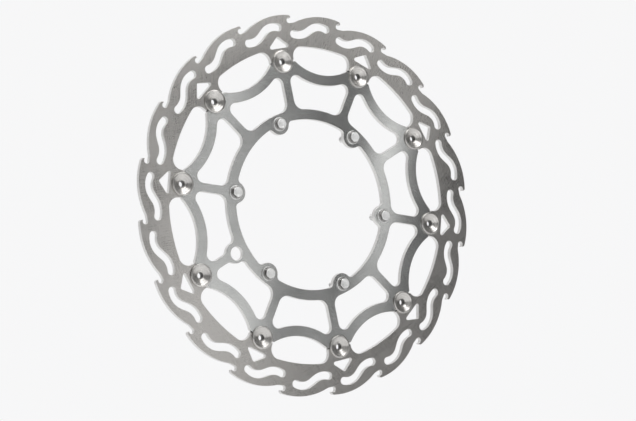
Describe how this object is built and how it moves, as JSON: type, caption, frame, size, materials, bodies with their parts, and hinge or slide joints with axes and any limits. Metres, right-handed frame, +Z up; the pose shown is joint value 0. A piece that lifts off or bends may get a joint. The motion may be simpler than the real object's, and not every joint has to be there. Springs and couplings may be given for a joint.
{
  "type": "motorcycle brake disc rotor",
  "caption": "Floating motorcycle brake disc: a flat friction ring with a flame-shaped edge and S-shaped slots, hung on hollow buttons from a spoked carrier bolted to the hub.",
  "frame": {"origin": "on the disc's axis, in the plane of the carrier's hub face, which is also the hub-bolt circle's centre", "axes": "+Y along the disc's axis, out of the hub face towards the hub; the outer face looks towards -Y; +Z up as the wheel stands, +X to the right seen from outside"},
  "size_m": [0.3188, 0.0225, 0.3188],
  "materials": {
    "ring_steel": "ground stainless steel with fine crossing grinding lines",
    "carrier_steel": "ground stainless steel, fine straight grain",
    "button_steel": "bright turned stainless steel",
    "spring_steel": "spring steel, blued grey",
    "washer_steel": "plain zinc-plated steel",
    "clip_steel": "phosphated spring steel",
    "bolt_steel": "bright zinc-plated steel"
  },
  "bodies": {
    "inner_carrier": {"carrier": "carrier_steel", "hub_bolt_1": "bolt_steel", "hub_bolt_2": "bolt_steel", "hub_bolt_3": "bolt_steel", "hub_bolt_4": "bolt_steel", "hub_bolt_5": "bolt_steel", "hub_bolt_6": "bolt_steel"},
    "outer_ring": {"friction_ring": "ring_steel"},
    "bobbin_01": {"button_01": "button_steel", "spring_washer_01": "spring_steel", "retaining_washer_01": "washer_steel", "circlip_01": "clip_steel"},
    "bobbin_02": {"button_02": "button_steel", "spring_washer_02": "spring_steel", "retaining_washer_02": "washer_steel", "circlip_02": "clip_steel"},
    "bobbin_03": {"button_03": "button_steel", "spring_washer_03": "spring_steel", "retaining_washer_03": "washer_steel", "circlip_03": "clip_steel"},
    "bobbin_04": {"button_04": "button_steel", "spring_washer_04": "spring_steel", "retaining_washer_04": "washer_steel", "circlip_04": "clip_steel"},
    "bobbin_05": {"button_05": "button_steel", "spring_washer_05": "spring_steel", "retaining_washer_05": "washer_steel", "circlip_05": "clip_steel"},
    "bobbin_06": {"button_06": "button_steel", "spring_washer_06": "spring_steel", "retaining_washer_06": "washer_steel", "circlip_06": "clip_steel"},
    "bobbin_07": {"button_07": "button_steel", "spring_washer_07": "spring_steel", "retaining_washer_07": "washer_steel", "circlip_07": "clip_steel"},
    "bobbin_08": {"button_08": "button_steel", "spring_washer_08": "spring_steel", "retaining_washer_08": "washer_steel", "circlip_08": "clip_steel"},
    "bobbin_09": {"button_09": "button_steel", "spring_washer_09": "spring_steel", "retaining_washer_09": "washer_steel", "circlip_09": "clip_steel"},
    "bobbin_10": {"button_10": "button_steel", "spring_washer_10": "spring_steel", "retaining_washer_10": "washer_steel", "circlip_10": "clip_steel"}
  },
  "joints": [
    {"name": "ring_float", "type": "slide", "parent": "inner_carrier", "child": "outer_ring", "axis": [0, 1, 0], "range_m": [-0.00015, 0.00015]},
    {"name": "bobbin_01_turn", "type": "hinge", "parent": "inner_carrier", "child": "bobbin_01", "pos_m": [0.12058, -0.002, -0.01002], "axis": [0, 1, 0], "continuous": true},
    {"name": "bobbin_02_turn", "type": "hinge", "parent": "inner_carrier", "child": "bobbin_02", "pos_m": [0.10344, -0.002, 0.06277], "axis": [0, 1, 0], "continuous": true},
    {"name": "bobbin_03_turn", "type": "hinge", "parent": "inner_carrier", "child": "bobbin_03", "pos_m": [0.04679, -0.002, 0.11159], "axis": [0, 1, 0], "continuous": true},
    {"name": "bobbin_04_turn", "type": "hinge", "parent": "inner_carrier", "child": "bobbin_04", "pos_m": [-0.02773, -0.002, 0.11778], "axis": [0, 1, 0], "continuous": true},
    {"name": "bobbin_05_turn", "type": "hinge", "parent": "inner_carrier", "child": "bobbin_05", "pos_m": [-0.09166, -0.002, 0.07898], "axis": [0, 1, 0], "continuous": true},
    {"name": "bobbin_06_turn", "type": "hinge", "parent": "inner_carrier", "child": "bobbin_06", "pos_m": [-0.12058, -0.002, 0.01002], "axis": [0, 1, 0], "continuous": true},
    {"name": "bobbin_07_turn", "type": "hinge", "parent": "inner_carrier", "child": "bobbin_07", "pos_m": [-0.10344, -0.002, -0.06277], "axis": [0, 1, 0], "continuous": true},
    {"name": "bobbin_08_turn", "type": "hinge", "parent": "inner_carrier", "child": "bobbin_08", "pos_m": [-0.04679, -0.002, -0.11159], "axis": [0, 1, 0], "continuous": true},
    {"name": "bobbin_09_turn", "type": "hinge", "parent": "inner_carrier", "child": "bobbin_09", "pos_m": [0.02773, -0.002, -0.11778], "axis": [0, 1, 0], "continuous": true},
    {"name": "bobbin_10_turn", "type": "hinge", "parent": "inner_carrier", "child": "bobbin_10", "pos_m": [0.09166, -0.002, -0.07898], "axis": [0, 1, 0], "continuous": true}
  ]
}
